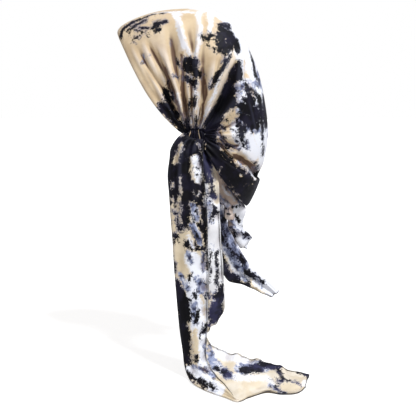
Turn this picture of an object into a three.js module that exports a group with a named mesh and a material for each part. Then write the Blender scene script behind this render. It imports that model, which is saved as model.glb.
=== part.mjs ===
// A pre-tied tichel: a head scarf whose gathers are sewn, so it is pulled on like a cap. Millimetres, +Z up.
// The wearer faces -Y, and +X is the wearer's left. The origin is the middle of the head at brow height.
// Every cloth piece is one wall: a sheet worked out from a table of sections, with a thickness and its folds.
import * as THREE from "three";

const CLOTH = 1.6; // wall of doubled stretch velvet
const GATHERED_CLOTH = 1; // the same wall where the stitching draws it thin
const SEAM_GAP = 0.4; // clearance between two pieces that are sewn to one another

// The side gathers, where the crown's pleats and a tail are stitched to one another.
const GATHER = { x: 62, y: 38, z: -122, long: 29, thick: 11, high: 14, ribs: 5, rib: 0.7 };

// Crown sections, from the front hem over the head to the nape. Each line of cloth leaves the left gather at
// the angle ring round it, crosses the middle of the head at (y, z) and comes back to the right gather.
// swell widens it at the sides and low near the gathers, and droop bows it out of its straight way.
const CROWN = [
  { name: "front_hem", y: -82, z: 28, ring: 176, swell: 18, low: 4, droop: 12 },
  { name: "front_roll", y: -89, z: 42, ring: 166, swell: 20, low: 4, droop: 11 },
  { name: "forehead_top", y: -79, z: 54, ring: 156, swell: 22, low: 3, droop: 9 },
  { name: "crown_front", y: -53, z: 66, ring: 143, swell: 26, low: 2, droop: 6 },
  { name: "crown_fore_top", y: -20, z: 75, ring: 126, swell: 30, low: 1, droop: 3 },
  { name: "crown_top", y: 20, z: 78.5, ring: 106, swell: 32, low: 0, droop: 1 },
  { name: "crown_back_top", y: 60, z: 77, ring: 82, swell: 32, low: 0, droop: 0 },
  { name: "occiput_top", y: 93, z: 59, ring: 60, swell: 31, low: 0, droop: 0 },
  { name: "back_shoulder", y: 119, z: 25, ring: 44, swell: 29, low: 0, droop: 0 },
  { name: "back_fall", y: 138, z: -16, ring: 30, swell: 27, low: 0, droop: 0 },
  { name: "back_middle", y: 151, z: -68, ring: 18, swell: 27, low: 0, droop: -2 },
  { name: "pouch_full", y: 157, z: -120, ring: 8, swell: 27, low: 0, droop: -5 },
  { name: "pouch_low", y: 151, z: -166, ring: -2, swell: 26, low: 0, droop: -8 },
  { name: "pouch_crease", y: 141, z: -191, ring: -10, swell: 20, low: 0, droop: -10 },
  { name: "panel_top", y: 144, z: -201, ring: -19, swell: 20, low: 0, droop: -12 },
  { name: "panel_foot", y: 126, z: -240, ring: -30, swell: 14, low: 0, droop: -11 },
  { name: "panel_under", y: 116, z: -232, ring: -38, swell: 8, low: -4, droop: -7 },
  { name: "nape_edge", y: 92, z: -184, ring: -46, swell: 4, low: -9, droop: -3 },
];

// Pleats that fan out from each gather. at is the angle round the gather, 0 to the back and 90 straight up.
// high is the height of the ridge, or the depth of the crease where it is negative, wide its half width in
// degrees, and reach how far up the side it runs, in degrees of the line's own arc.
const PLEATS = [
  { name: "front_band", at: 128, high: 1.2, wide: 5, reach: 60 },
  { name: "band_crease", at: 123, high: -2, wide: 3, reach: 52 },
  { name: "temple_ridge", at: 120, high: 3, wide: 3, reach: 50 },
  { name: "temple_crease", at: 115.5, high: -4.5, wide: 3, reach: 54 },
  { name: "broad_ridge", at: 108.5, high: 4, wide: 4, reach: 48 },
  { name: "ear_crease", at: 103, high: -6, wide: 3, reach: 66 },
  { name: "ear_ridge", at: 97, high: 5, wide: 3.5, reach: 72 },
  { name: "upper_crease", at: 92.5, high: -3, wide: 3, reach: 58 },
  { name: "upper_ridge", at: 88.5, high: 5, wide: 3, reach: 72 },
  { name: "rear_crease", at: 83.5, high: -4, wide: 3, reach: 50 },
  { name: "rear_swell", at: 76, high: 2.5, wide: 5, reach: 60 },
  { name: "rear_ridge", at: 66, high: 7.5, wide: 4.5, reach: 62 },
  { name: "rear_hollow", at: 55, high: -9, wide: 8, reach: 56 },
  { name: "pouch_ridge", at: 42, high: 3, wide: 6, reach: 62 },
  { name: "pouch_valley", at: 22, high: -2.5, wide: 6, reach: 50 },
  { name: "pouch_side", at: 4, high: 3, wide: 8, reach: 55 },
  { name: "pouch_pinch", at: -16, high: -3, wide: 6, reach: 38 },
];
const RIGHT_PLEAT_SHIFT = 2.5; // degrees by which the right side's pleats lie further forward
const PLEATS_END = { from: 0.72, to: 0.8 }; // shares of the crown between which the pleats run out

// Tail sections, from the gather to the tip. The strip is folded lengthwise: fold is its folded edge,
// near the hem of the outer half and far the hem of the inner half, each as x, y, z.
const LEFT_TAIL = [
  { fold: [64, 19, -123.5], near: [64, 50, -129], far: [60, 50, -129] },
  { fold: [68, 8, -131], near: [71, 50, -137], far: [60.5, 50, -137] },
  { fold: [72, 1, -143], near: [76, 50, -150], far: [61, 55, -150] },
  { fold: [74, -1, -158], near: [79, 50, -166], far: [62, 62, -168] },
  { fold: [75, -4, -184], near: [82, 51, -188], far: [63, 70, -192] },
  { fold: [76, -2, -214], near: [83, 54, -216], far: [64, 76, -220] },
  { fold: [77, 0, -250], near: [83, 56, -252], far: [65, 77, -252] },
  { fold: [78, 3, -290], near: [84, 57, -292], far: [66, 79, -290] },
  { fold: [79, 5, -330], near: [84, 58, -332], far: [67, 82, -330] },
  { fold: [80, 8, -370], near: [85, 58, -370], far: [68, 84, -372] },
  { fold: [81, 11, -408], near: [86, 57, -406], far: [66, 84, -404] },
  { fold: [81, 14, -438], near: [86, 56, -430], far: [63, 75, -426] },
  { fold: [82, 18, -468], near: [87, 55, -450], far: [59, 62, -440] },
  { fold: [84, 21, -492], near: [88, 54, -468], far: [54, 57, -456] },
  { fold: [92, 26, -506], near: [89, 57, -486], far: [49, 66, -471] },
  { fold: [115, 35, -508], near: [104, 69, -497], far: [43, 79, -479] },
  { fold: [140, 56, -508], near: [125, 81, -501], far: [38, 95, -487] },
  { fold: [162, 83, -508], near: [148, 91, -503], far: [37, 110, -486] },
  { fold: [177, 102, -508], near: [168, 103, -504], far: [39, 127, -495] },
  { fold: [160, 121, -508], near: [154, 120, -504], far: [42, 145, -494] },
  { fold: [142, 147, -508], near: [137, 146, -504], far: [47, 157, -499] },
  { fold: [148, 172, -508], near: [143, 171, -504], far: [54, 178, -502] },
  { fold: [143, 196, -508], near: [138, 194, -504], far: [73, 194, -504] },
  { fold: [122, 210, -508], near: [118, 206, -504], far: [84, 222, -505] },
];
const RIGHT_TAIL = [
  { fold: [-63, 49, -130], near: [-63.8, 27, -130], far: [-60.2, 27, -130] },
  { fold: [-69, 50, -138], near: [-72, 18, -136], far: [-60, 19, -138] },
  { fold: [-74, 53, -164], near: [-78, 10, -162], far: [-63, 12, -164] },
  { fold: [-75, 65, -204], near: [-82, 18, -202], far: [-66, 20, -204] },
  { fold: [-74, 81, -242], near: [-84, 34, -244], far: [-68, 32, -244] },
  { fold: [-75, 89, -276], near: [-86, 48, -282], far: [-70, 44, -282] },
  { fold: [-76, 101, -304], near: [-87, 62, -318], far: [-72, 57, -316] },
  { fold: [-77, 114, -333], near: [-88, 78, -348], far: [-73, 72, -348] },
  { fold: [-78, 127, -355], near: [-88, 90, -374], far: [-75, 84, -376] },
  { fold: [-80, 137, -372], near: [-87, 104, -396], far: [-77, 98, -394] },
  { fold: [-82, 152, -382], near: [-88, 128, -403], far: [-79, 124, -401] },
  { fold: [-84, 170, -396], near: [-90, 150, -412], far: [-81, 148, -413] },
  { fold: [-87, 189, -416], near: [-91, 176, -425], far: [-84, 174, -426] },
];
// at is the share of a tail's width on the outer side of its fold, round the fold's inner radius, bend the
// share of the width on each side that goes round it and steady the share of length that sets its direction.
const FOLD = { at: 0.45, round: 3, bend: 0.05, steady: 0.06 };
const TOP_SAG = { left: 6, right: 0, reach: 0.07 }; // how far a tail's top dips to pass below its gather
// Soft waves along the whole tail, and the tight gathers that fan out below the stitching.
const TAIL_WAVES = { count: 2.5, high: 2.2, lean: 3 };
const TAIL_GATHERS = { count: 6, high: 2.4, end: 0.3 };

// The flap hangs from the nape band to a point. side is half its breadth, edge the place of its two hems and
// back the place of its middle line, each as y, z. Its top is sewn to the band's foot.
const FLAP = [
  { side: 48, edge: [68, -178], back: [93, -203] },
  { side: 46, edge: [61, -188], back: [97, -212] },
  { side: 44, edge: [63, -206], back: [106, -230] },
  { side: 41, edge: [73, -224], back: [120, -248] },
  { side: 35, edge: [83, -238], back: [116, -264] },
  { side: 27, edge: [86, -254], back: [115, -281] },
  { side: 18, edge: [92, -274], back: [128, -293] },
  { side: 10, edge: [101, -297], back: [131, -302] },
  { side: 5, edge: [113, -313], back: [122, -316] },
];
const FLAP_RUFFLES = { count: 3, high: 5 };
const FLAP_SEAM = { from: 0.2, below: 0.0008, reach: 0.12 };

// The nape band is the casing of the nape, on the neck's side of the crown's turned-under edge.
const NAPE_BAND = { thick: 2.4, top: 0.999, foot: 0.987, from: 0.035 };

const lerp = THREE.MathUtils.lerp;
const smoothstep = THREE.MathUtils.smoothstep;
const radians = THREE.MathUtils.degToRad;
const degrees = THREE.MathUtils.radToDeg;

// The value of a named column at share t of the way down a table, on a smooth curve through its rows.
function column(rows, name, t) {
  const place = THREE.MathUtils.clamp(t, 0, 1) * (rows.length - 1);
  const row = Math.min(Math.floor(place), rows.length - 2);
  const f = place - row;
  const at = (i) => rows[THREE.MathUtils.clamp(i, 0, rows.length - 1)][name];
  const blend = (a, b, c, d) =>
    b + 0.5 * f * (c - a + f * (2 * a - 5 * b + 4 * c - d + f * (3 * b - a - 3 * c + d)));
  const [a, b, c, d] = [at(row - 1), at(row), at(row + 1), at(row + 2)];
  return Array.isArray(b) ? b.map((_, k) => blend(a[k], b[k], c[k], d[k])) : blend(a, b, c, d);
}

// The normal of a surface(u, v), from its two slopes.
function normalOf(surface, u, v) {
  const step = 1e-3;
  const alongU = surface(Math.min(1, u + step), v).sub(surface(Math.max(0, u - step), v));
  const alongV = surface(u, Math.min(1, v + step)).sub(surface(u, Math.max(0, v - step)));
  return alongU.cross(alongV).normalize();
}

const shares = (count, from = 0, to = 1) =>
  Array.from({ length: count + 1 }, (_, i) => lerp(from, to, i / count));

// A closed wall of cloth over base(u, v). Its skin stands fold(u, v) off the base, and both faces are heights
// along the base's own normal, so no fold makes them cross. us and vs are the shares where it is divided.
function clothWall(base, fold, us, vs, thickness = () => CLOTH) {
  const skin = [];
  const back = [];
  for (const u of us) {
    for (const v of vs) {
      const normal = normalOf(base, u, v);
      const point = base(u, v).addScaledVector(normal, fold(u, v));
      skin.push(point);
      back.push(point.clone().addScaledVector(normal, -thickness(u, v)));
    }
  }
  const faces = [];
  const quad = (a, b, c, d) => faces.push(a, b, c, a, c, d);
  const front = (i, j) => i * vs.length + j;
  const rear = (i, j) => skin.length + front(i, j);
  const [lastU, lastV] = [us.length - 1, vs.length - 1];
  for (let i = 0; i < lastU; i++) {
    for (let j = 0; j < lastV; j++) {
      quad(front(i, j), front(i + 1, j), front(i + 1, j + 1), front(i, j + 1));
      quad(rear(i, j), rear(i, j + 1), rear(i + 1, j + 1), rear(i + 1, j));
    }
    quad(front(i, 0), rear(i, 0), rear(i + 1, 0), front(i + 1, 0));
    quad(front(i + 1, lastV), rear(i + 1, lastV), rear(i, lastV), front(i, lastV));
  }
  for (let j = 0; j < lastV; j++) {
    quad(front(0, j + 1), rear(0, j + 1), rear(0, j), front(0, j));
    quad(front(lastU, j), rear(lastU, j), rear(lastU, j + 1), front(lastU, j + 1));
  }
  const geometry = new THREE.BufferGeometry().setFromPoints([...skin, ...back]);
  geometry.setIndex(faces);
  geometry.computeVertexNormals();
  return geometry;
}

// The angle of crown line u round the gather, where it crosses the middle of the head.
function crownAngle(u) {
  return degrees(Math.atan2(column(CROWN, "z", u) - GATHER.z, column(CROWN, "y", u) - GATHER.y));
}

function crownBase(u, v) {
  const arc = Math.PI * v;
  const climb = Math.sin(arc);
  const ring = radians(column(CROWN, "ring", u));
  const startY = GATHER.y + (GATHER.long / 2 + SEAM_GAP) * Math.cos(ring);
  const startZ = GATHER.z + (GATHER.high / 2 + SEAM_GAP) * Math.sin(ring);
  const across = radians(crownAngle(u) + 90);
  const bow = column(CROWN, "droop", u) * Math.sin(Math.PI * climb ** 0.68);
  return new THREE.Vector3(
    GATHER.x * Math.cos(arc) + column(CROWN, "swell", u) * Math.sin(2 * arc)
      + column(CROWN, "low", u) * Math.sin(4 * arc),
    lerp(startY, column(CROWN, "y", u), climb) + bow * Math.cos(across),
    lerp(startZ, column(CROWN, "z", u), climb) + bow * Math.sin(across),
  );
}

// How far cloth at share v of a crown line is from the nearer gather, in degrees of the line's arc.
const arcFromGather = (v) => 180 * Math.min(v, 1 - v);

function crownFold(u, v) {
  const angle = crownAngle(u) - (v < 0.5 ? 0 : RIGHT_PLEAT_SHIFT);
  const arc = arcFromGather(v);
  const open = 0.1 + 0.9 * smoothstep(arc, 1, 16);
  const height = PLEATS.reduce((sum, pleat) => {
    const across = Math.exp(-(Math.abs((angle - pleat.at) / pleat.wide) ** 1.6));
    return sum + pleat.high * across * (1 - smoothstep(arc, pleat.reach * 0.45, pleat.reach));
  }, 0);
  return height * open * (1 - smoothstep(u, PLEATS_END.from, PLEATS_END.to));
}

function crown() {
  const lines = [...shares(25, 0, 0.41), ...shares(10, 0.41, 0.56).slice(1), ...shares(6, 0.56, 0.74).slice(1),
    ...shares(10, 0.74, 1).slice(1)];
  const steps = [...shares(11, 0, 0.31), ...shares(6, 0.31, 0.69).slice(1), ...shares(11, 0.69, 1).slice(1)];
  const drawnThin = (u, v) => lerp(GATHERED_CLOTH, CLOTH, smoothstep(arcFromGather(v), 0, 22));
  return clothWall(crownBase, crownFold, lines, steps, drawnThin);
}

// The neck's face of the nape band, which follows the crown's nape edge at the seam's clearance.
function bandSkin(u, v) {
  return crownBase(u, v).addScaledVector(normalOf(crownBase, u, v), SEAM_GAP + NAPE_BAND.thick);
}

// A gather is a short roll of stitched pleats, ribbed from end to end.
function gather() {
  const profile = shares(3 * GATHER.ribs).map((t) => {
    const round = Math.sqrt(Math.max(0, 1 - (2 * t - 1) ** 2));
    const rib = (GATHER.rib * Math.cos(2 * Math.PI * GATHER.ribs * t) - GATHER.rib) / GATHER.high;
    return new THREE.Vector2(round * (1 + rib), (t - 0.5) * GATHER.long);
  });
  return new THREE.LatheGeometry(profile, 10).scale(GATHER.thick / 2, 1, GATHER.high / 2);
}

// A tail's three lines at share along of its length.
function tailLines(rows, along) {
  return ["fold", "near", "far"].map((name) => new THREE.Vector3(...column(rows, name, along)));
}

// Across a tail, 0 is the hem of its outer half, FOLD.at the folded edge and 1 the hem of its inner half.
function tailBase(rows, sag) {
  const middle = (along) => {
    const [fold, near, far] = tailLines(rows, along);
    return fold.multiplyScalar(2).add(near).add(far).multiplyScalar(0.25);
  };
  return (along, across) => {
    const [fold, near, far] = tailLines(rows, along);
    const down = middle(Math.min(1, along + FOLD.steady)).sub(middle(Math.max(0, along - FOLD.steady)));
    const inward = near.clone().add(far).multiplyScalar(0.5).sub(fold).normalize();
    const outward = down.cross(inward).normalize();
    const radius = Math.min(FOLD.round, near.distanceTo(far) / 2);
    const past = across - FOLD.at;
    const turn = (Math.PI / 2) * THREE.MathUtils.clamp(past / FOLD.bend, -1, 1);
    fold.addScaledVector(inward, radius * (1 - Math.cos(turn))).addScaledVector(outward, -radius * Math.sin(turn));
    const straight = Math.max(0, Math.abs(past) - FOLD.bend) / ((past < 0 ? FOLD.at : 1 - FOLD.at) - FOLD.bend);
    fold.z -= sag * Math.sin(Math.PI * straight) * (1 - smoothstep(along, 0, TOP_SAG.reach));
    return fold.lerp(past < 0 ? near : far, straight);
  };
}

function tailFold(along, across) {
  const flat = smoothstep(Math.abs(across - FOLD.at), FOLD.bend, 3 * FOLD.bend);
  const settle = smoothstep(along, 0.02, 0.14);
  const wave = TAIL_WAVES.high * Math.sin(2 * Math.PI * TAIL_WAVES.count * across + TAIL_WAVES.lean * along);
  const fade = smoothstep(along, 0, 0.05) * (1 - smoothstep(along, 0.08, TAIL_GATHERS.end));
  const gathers = TAIL_GATHERS.high * Math.sin(2 * Math.PI * TAIL_GATHERS.count * across);
  return flat * (wave * settle + gathers * fade);
}

function tail(rows, sag, lengthSteps, outerSteps, innerSteps) {
  const across = [...shares(outerSteps, 0, FOLD.at - FOLD.bend),
    ...shares(4, FOLD.at - FOLD.bend, FOLD.at + FOLD.bend).slice(1),
    ...shares(innerSteps, FOLD.at + FOLD.bend, 1).slice(1)];
  return clothWall(tailBase(rows, sag), tailFold, shares(lengthSteps), across);
}

function flapBase(along, across) {
  const swing = Math.PI * across;
  const round = Math.sin(swing);
  const side = column(FLAP, "side", along);
  const [edgeY, edgeZ] = column(FLAP, "edge", along);
  const [backY, backZ] = column(FLAP, "back", along);
  const seam = bandSkin(NAPE_BAND.foot - FLAP_SEAM.below, lerp(FLAP_SEAM.from, 1 - FLAP_SEAM.from, across));
  const free = new THREE.Vector3(side * Math.cos(swing), lerp(edgeY, backY, round), lerp(edgeZ, backZ, round));
  return seam.lerp(free, Math.min(1, along / FLAP_SEAM.reach));
}

function flapFold(along, across) {
  const high = FLAP_RUFFLES.high * smoothstep(along, 0, 0.4) * (column(FLAP, "side", along) / FLAP[0].side) ** 1.6;
  return high * Math.sin(2 * Math.PI * FLAP_RUFFLES.count * across);
}

function napeBase(down, across) {
  return bandSkin(lerp(NAPE_BAND.foot, NAPE_BAND.top, down), lerp(NAPE_BAND.from, 1 - NAPE_BAND.from, across));
}

const cream = new THREE.MeshStandardMaterial({ name: "cream_velvet", color: 0xe6d2b0, roughness: 0.85 });
const marbled = new THREE.MeshStandardMaterial({ name: "marbled_velvet", color: 0x9a93a0, roughness: 0.85 });
const ink = new THREE.MeshStandardMaterial({ name: "ink_velvet", color: 0x17151f, roughness: 0.85 });

function piece(name, geometry, material) {
  const mesh = new THREE.Mesh(geometry, material.clone());
  mesh.name = name;
  return mesh;
}

const tichel = new THREE.Group();
tichel.add(piece("crown", crown(), cream));
for (const [name, side] of [["gather_left", 1], ["gather_right", -1]]) {
  const roll = piece(name, gather(), ink);
  roll.position.set(side * GATHER.x, GATHER.y, GATHER.z);
  tichel.add(roll);
}
tichel.add(piece("tail_left", tail(LEFT_TAIL, TOP_SAG.left, 36, 6, 7), marbled));
tichel.add(piece("tail_right", tail(RIGHT_TAIL, TOP_SAG.right, 20, 4, 4), marbled));
tichel.add(piece("back_flap", clothWall(flapBase, flapFold, shares(16), shares(16)), marbled));
tichel.add(piece("nape_band", clothWall(napeBase, () => 0, [0, 1], shares(24), () => NAPE_BAND.thick), cream));

export default tichel;
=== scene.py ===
# A pre-tied tichel: a head scarf of dyed stretch velvet with sewn gathers, so it is pulled on like a cap.
# Metres, +Z up. The wearer faces -Y and +X is the wearer's left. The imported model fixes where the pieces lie.
import math

import bmesh
import bpy
import numpy as np
from mathutils import Matrix, Vector, noise


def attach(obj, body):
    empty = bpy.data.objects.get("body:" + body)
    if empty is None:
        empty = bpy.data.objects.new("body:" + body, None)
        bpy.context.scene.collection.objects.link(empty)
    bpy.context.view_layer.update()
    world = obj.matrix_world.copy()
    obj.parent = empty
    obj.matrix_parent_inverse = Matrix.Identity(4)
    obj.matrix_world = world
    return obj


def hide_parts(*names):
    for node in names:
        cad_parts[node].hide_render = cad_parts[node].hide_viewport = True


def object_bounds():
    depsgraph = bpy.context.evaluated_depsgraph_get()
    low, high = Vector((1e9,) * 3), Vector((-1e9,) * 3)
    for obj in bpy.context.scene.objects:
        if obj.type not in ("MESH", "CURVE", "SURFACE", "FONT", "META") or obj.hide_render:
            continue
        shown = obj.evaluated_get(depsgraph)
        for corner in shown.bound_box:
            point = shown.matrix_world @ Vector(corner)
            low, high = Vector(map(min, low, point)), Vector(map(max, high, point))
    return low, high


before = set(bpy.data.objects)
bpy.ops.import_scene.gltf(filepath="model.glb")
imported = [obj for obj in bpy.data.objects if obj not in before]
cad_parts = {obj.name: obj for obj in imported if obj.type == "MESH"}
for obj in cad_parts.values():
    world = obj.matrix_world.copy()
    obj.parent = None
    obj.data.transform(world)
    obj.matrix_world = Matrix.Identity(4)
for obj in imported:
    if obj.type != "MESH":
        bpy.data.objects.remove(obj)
cad_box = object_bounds()


# The camera: it looks at the wearer's left side from a little above. The tables of dye and folds are in the
# picture's pixels, and in_picture() tells where a point of the cloth shows in it.
PICTURE = 416
LENS = 0.0569
SENSOR = 0.036
LOOK_DOWN = math.radians(8.49)
EYE = np.array([1.100, 0.05775, -0.0825])
AHEAD = np.array([-math.cos(LOOK_DOWN), 0, -math.sin(LOOK_DOWN)])
ASIDE = np.array([0.0, 1.0, 0.0])
UPRIGHT = np.cross(ASIDE, AHEAD)
PIXEL = 0.00160  # what one pixel spans on the cloth, in metres

camera = bpy.data.objects.new("camera", bpy.data.cameras.new("camera"))
bpy.context.scene.collection.objects.link(camera)
bpy.context.scene.camera = camera
camera.data.lens = 1000 * LENS
camera.data.sensor_width = 1000 * SENSOR
camera.location = EYE
camera.rotation_euler = Vector(AHEAD).to_track_quat("-Z", "Y").to_euler()


def in_picture(points):
    """Where points show in the picture, in pixels from its top left corner, as across and down."""
    seen = points - EYE
    scale = PICTURE * LENS / SENSOR / (seen @ AHEAD)
    return PICTURE / 2 + np.stack([scale * (seen @ ASIDE), -scale * (seen @ UPRIGHT)], axis=1)


# The crown: one broad panel of velvet that covers the head. Both its ends are drawn together in a fan of
# pleats over the ear, its back hangs in a full pouch, and the pouch's foot is turned under to the nape.
CLOTH = 0.0016
GATHERED_CLOTH = 0.001
SEAM_GAP = 0.0004
GATHER_AT = np.array([0.062, 0.038, -0.122])
GATHER_LONG = 0.029
GATHER_HIGH = 0.014
GATHER_THICK = 0.011
CROWN_FLAT = (0.66, 0.50)
RIGHT_PLEAT_SHIFT = math.radians(2.5)


def table(columns, *rows):
    """Rows of values as dictionaries with the named columns."""
    return [dict(zip(columns.split(), row)) for row in rows]


# Each line of the crown's cloth leaves the left gather at the angle ring, crosses the middle at (y, z) and
# comes back to the right gather. swell widens it at the sides, low near the gathers, and droop bows it.
CROWN = table(
    "name y z ring swell low droop",
    ("front_hem", -0.082, 0.028, 176, 0.018, 0.004, 0.012),
    ("front_roll", -0.089, 0.042, 166, 0.020, 0.004, 0.011),
    ("forehead_top", -0.079, 0.054, 156, 0.022, 0.003, 0.009),
    ("crown_front", -0.053, 0.066, 143, 0.026, 0.002, 0.006),
    ("crown_fore_top", -0.020, 0.075, 126, 0.030, 0.001, 0.003),
    ("crown_top", 0.020, 0.0785, 106, 0.032, 0, 0.001),
    ("crown_back_top", 0.060, 0.077, 82, 0.032, 0, 0),
    ("occiput_top", 0.093, 0.059, 60, 0.031, 0, 0),
    ("back_shoulder", 0.119, 0.025, 44, 0.029, 0, 0),
    ("back_fall", 0.138, -0.016, 30, 0.027, 0, 0),
    ("back_middle", 0.151, -0.068, 18, 0.027, 0, -0.002),
    ("pouch_full", 0.157, -0.120, 8, 0.027, 0, -0.005),
    ("pouch_low", 0.151, -0.166, -2, 0.026, 0, -0.008),
    ("pouch_crease", 0.141, -0.191, -10, 0.020, 0, -0.010),
    ("panel_top", 0.144, -0.201, -19, 0.020, 0, -0.012),
    ("panel_foot", 0.126, -0.240, -30, 0.014, 0, -0.011),
    ("panel_under", 0.116, -0.232, -38, 0.008, -0.004, -0.007),
    ("nape_edge", 0.092, -0.184, -46, 0.004, -0.009, -0.003),
)

# The pleats that run through the whole fan: at is the angle round the gather, wide the half width, both in
# degrees, and reach how many degrees of the way over the head it takes a pleat to fade.
PLEATS = table(
    "name at high wide reach",
    ("front_band", 128, 0.0016, 5, 60),
    ("band_crease", 123, -0.0026, 3, 52),
    ("temple_ridge", 120, 0.0036, 3, 50),
    ("temple_crease", 115.5, -0.0054, 3, 54),
    ("broad_ridge", 108.5, 0.005, 4, 48),
    ("ear_crease", 103, -0.0066, 3, 66),
    ("ear_ridge", 97, 0.006, 3.5, 72),
    ("upper_crease", 92.5, -0.0042, 3, 46),
    ("upper_ridge", 88.5, 0.006, 3, 72),
    ("rear_crease", 83.5, -0.005, 3, 44),
    ("rear_swell", 76, 0.003, 5, 60),
    ("rear_ridge", 66, 0.0085, 4.5, 62),
    ("rear_hollow", 55, -0.011, 8, 56),
    ("pouch_ridge", 42, 0.004, 6, 62),
    ("pouch_valley", 22, -0.004, 6, 50),
    ("pouch_side", 4, 0.004, 8, 55),
    ("pouch_pinch", -16, -0.004, 6, 38),
)

# Single folds, each along a path of picture pixels, across and down by turns, from its top to its foot. front
# and back are the half widths of its two flanks, and grow is the share of its length over which it rises.
CROWN_FOLDS = table(
    "name path high front back grow",
    ("hem_roll", (128, 42, 138, 64, 150, 87, 164, 105), 0.0018, 0.004, 0.004, 0.3),
    ("hem_crease", (134, 42, 144, 61, 154, 80, 165, 96, 177, 113), -0.0034, 0.003, 0.0032, 0.3),
    ("brow_roll", (140, 38, 147, 55, 156, 72, 165, 88), 0.0026, 0.004, 0.004, 0.4),
    ("brow_crease", (145, 36, 150, 50, 158, 65, 167, 80, 172, 92), -0.0038, 0.0026, 0.0036, 0.45),
    ("temple_pit", (152, 40, 158, 56, 165, 70, 170, 83, 175, 97, 184, 126), -0.0066, 0.0034, 0.0022, 0.5),
    ("temple_roll", (160, 46, 166, 62, 173, 82, 179, 104, 185, 128), 0.0052, 0.003, 0.005, 0.45),
    ("ear_lip", (175, 50, 178, 70, 179.5, 90, 181, 112), 0.0032, 0.005, 0.002, 0.4),
    ("ear_pit", (179, 42, 182, 65, 183, 85, 183.5, 105, 188, 128), -0.0068, 0.002, 0.005, 0.4),
    ("white_roll", (177, 14, 182, 32, 188, 50, 191, 62, 190, 80), 0.0034, 0.004, 0.004, 0.3),
    ("top_valley", (192, 38, 193, 48, 194, 60), -0.0012, 0.005, 0.005, 0.5),
    ("second_roll", (200, 13, 200, 34, 197, 50, 196, 66), 0.0034, 0.0035, 0.0035, 0.3),
    ("back_valley", (206, 24, 206, 40, 202, 60), -0.001, 0.005, 0.005, 0.5),
    ("middle_pit", (187, 84, 188, 104, 190, 128), -0.004, 0.0022, 0.0022, 0.4),
    ("middle_roll", (193, 80, 193.5, 104, 193, 128), 0.0036, 0.0026, 0.0026, 0.3),
    ("thin_lip", (198, 70, 200.5, 87, 200.5, 104, 197, 128), 0.0046, 0.0028, 0.0018, 0.3),
    ("thin_pit", (203, 66, 204.5, 88, 204, 106, 200, 129), -0.0048, 0.0018, 0.004, 0.35),
    ("broad_flank", (216, 56, 211, 80, 206, 106), 0.003, 0.006, 0.006, 0.4),
    ("flank_line", (208, 84, 205, 102, 202, 120), -0.002, 0.002, 0.003, 0.4),
    ("rear_lip", (232, 48, 226, 64, 220, 80, 212, 101, 204, 122, 200, 133), 0.006, 0.0056, 0.002, 0.2),
    ("rear_pit", (240, 54, 232, 74, 224, 93, 214, 113, 206, 131), -0.0085, 0.003, 0.01, 0.25),
    ("pouch_smile", (216, 126, 219, 133, 225, 143, 232, 147, 239, 147), -0.0058, 0.002, 0.003, 0.35),
    ("pouch_chin", (212, 134, 217, 143, 222, 151, 229, 158, 240, 163), -0.0064, 0.002, 0.004, 0.3),
    ("panel_crease", (233, 156, 244, 160, 252, 168, 259, 175), -0.0095, 0.0052, 0.0052, 0.2),
    ("pouch_line", (248, 96, 252, 112, 256, 130), 0.0016, 0.002, 0.002, 0.3),
    ("back_line", (246, 52, 247, 72, 243, 94), -0.002, 0.003, 0.003, 0.4),
    ("back_roll", (238, 44, 240, 62, 240, 84), 0.0026, 0.004, 0.004, 0.4),
)


def column(rows, name, t):
    """The named column at share t of the way down a table, on a smooth curve through its rows."""
    values = np.array([row[name] for row in rows], float)
    place = np.clip(t, 0, 1) * (len(rows) - 1)
    row = np.minimum(place.astype(int), len(rows) - 2)
    f = (place - row).reshape([-1] + [1] * (values.ndim - 1))
    a, b, c, d = (values[np.clip(row + k, 0, len(rows) - 1)] for k in (-1, 0, 1, 2))
    return b + 0.5 * f * (c - a + f * (2 * a - 5 * b + 4 * c - d + f * (3 * b - a - 3 * c + d)))


def smooth(value, low, high):
    """0 below low, 1 above high and an even S between them."""
    t = np.clip((value - low) / (high - low), 0, 1)
    return t * t * (3 - 2 * t)


def mix(a, b, share):
    return a + (b - a) * share


def unit(vectors):
    return vectors / np.linalg.norm(vectors, axis=1, keepdims=True)


def normals(surface, u, v, step=1e-3):
    """The unit normals of surface(u, v), from its slopes."""
    along_u = surface(np.minimum(1, u + step), v) - surface(np.maximum(0, u - step), v)
    along_v = surface(u, np.minimum(1, v + step)) - surface(u, np.maximum(0, v - step))
    return unit(np.cross(along_u, along_v))


def crown_base(u, v):
    arc = math.pi * v
    climb = np.sin(arc)
    ring = np.radians(column(CROWN, "ring", u))
    middle_y, middle_z = column(CROWN, "y", u), column(CROWN, "z", u)
    start_y = GATHER_AT[1] + (GATHER_LONG / 2 + SEAM_GAP) * np.cos(ring)
    start_z = GATHER_AT[2] + (GATHER_HIGH / 2 + SEAM_GAP) * np.sin(ring)
    across = np.arctan2(middle_z - GATHER_AT[2], middle_y - GATHER_AT[1]) + math.pi / 2
    bow = column(CROWN, "droop", u) * np.sin(math.pi * np.clip(climb, 0, 1) ** 0.68)
    return np.stack([
        GATHER_AT[0] * np.cos(arc) + column(CROWN, "swell", u) * np.sin(2 * arc)
        + column(CROWN, "low", u) * np.sin(4 * arc),
        mix(start_y, middle_y, climb) + bow * np.cos(across),
        mix(start_z, middle_z, climb) + bow * np.sin(across),
    ], axis=1)


def degrees_from_gather(v):
    return 180 * np.minimum(v, 1 - v)


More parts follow.
